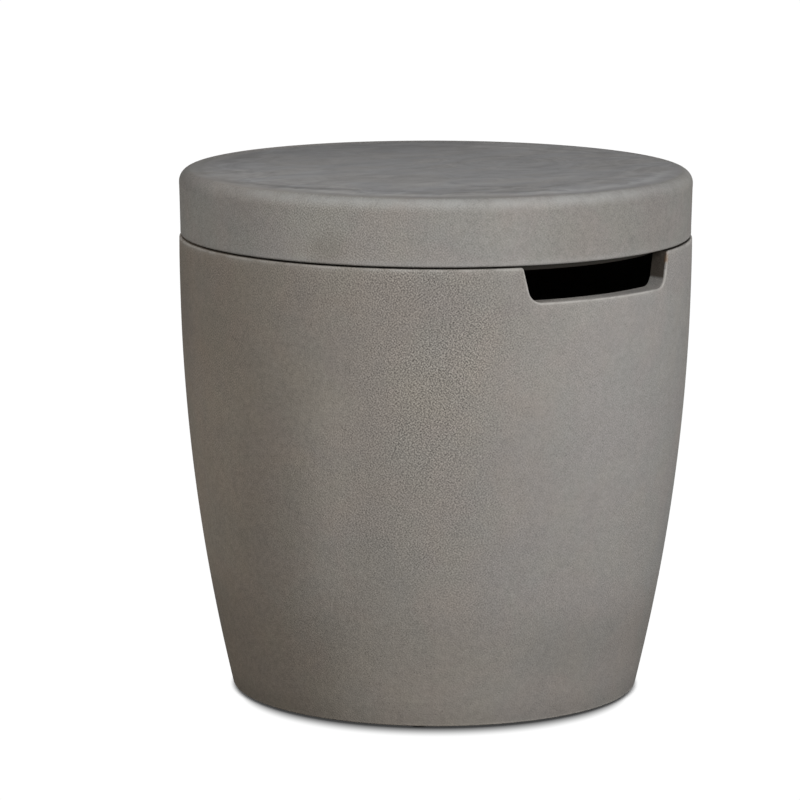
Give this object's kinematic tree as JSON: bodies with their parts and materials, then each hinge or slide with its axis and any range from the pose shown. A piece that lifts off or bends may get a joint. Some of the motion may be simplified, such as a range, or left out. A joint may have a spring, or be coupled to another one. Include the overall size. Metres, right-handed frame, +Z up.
{
  "type": "propane tank cover table",
  "caption": "Round cast-concrete side table that hides a standing gas cylinder: hollow barrel-sided shell, rim cut-outs for the hose, thick lift-off lid laid on rubber bumpers.",
  "frame": {"origin": "centre of the footprint on the floor, under the glides", "axes": "+Z up through the lid; the front rim cut-out faces -Y and its twin +Y"},
  "size_m": [0.4952, 0.4952, 0.508],
  "materials": {
    "shell_concrete": "matte",
    "lid_concrete": "matte",
    "bumper_rubber": "matte",
    "glide_rubber": "matte",
    "steel": "satin",
    "brass": "satin"
  },
  "bodies": {
    "shell": {"body_shell": "shell_concrete", "glide_screws": "steel", "glide_inserts": "brass", "lid_bumper_right": "bumper_rubber", "lid_bumper_back_right": "bumper_rubber", "lid_bumper_back_left": "bumper_rubber", "lid_bumper_left": "bumper_rubber", "lid_bumper_front_left": "bumper_rubber", "lid_bumper_front_right": "bumper_rubber", "base_glide_front_right": "glide_rubber", "base_glide_back_right": "glide_rubber", "base_glide_back_left": "glide_rubber", "base_glide_front_left": "glide_rubber"},
    "lid": {"lid": "lid_concrete"}
  },
  "joints": [
    {"name": "lid_lift", "type": "slide", "parent": "shell", "child": "lid", "axis": [0, 0, 1], "range_m": [0, 0.15]}
  ]
}
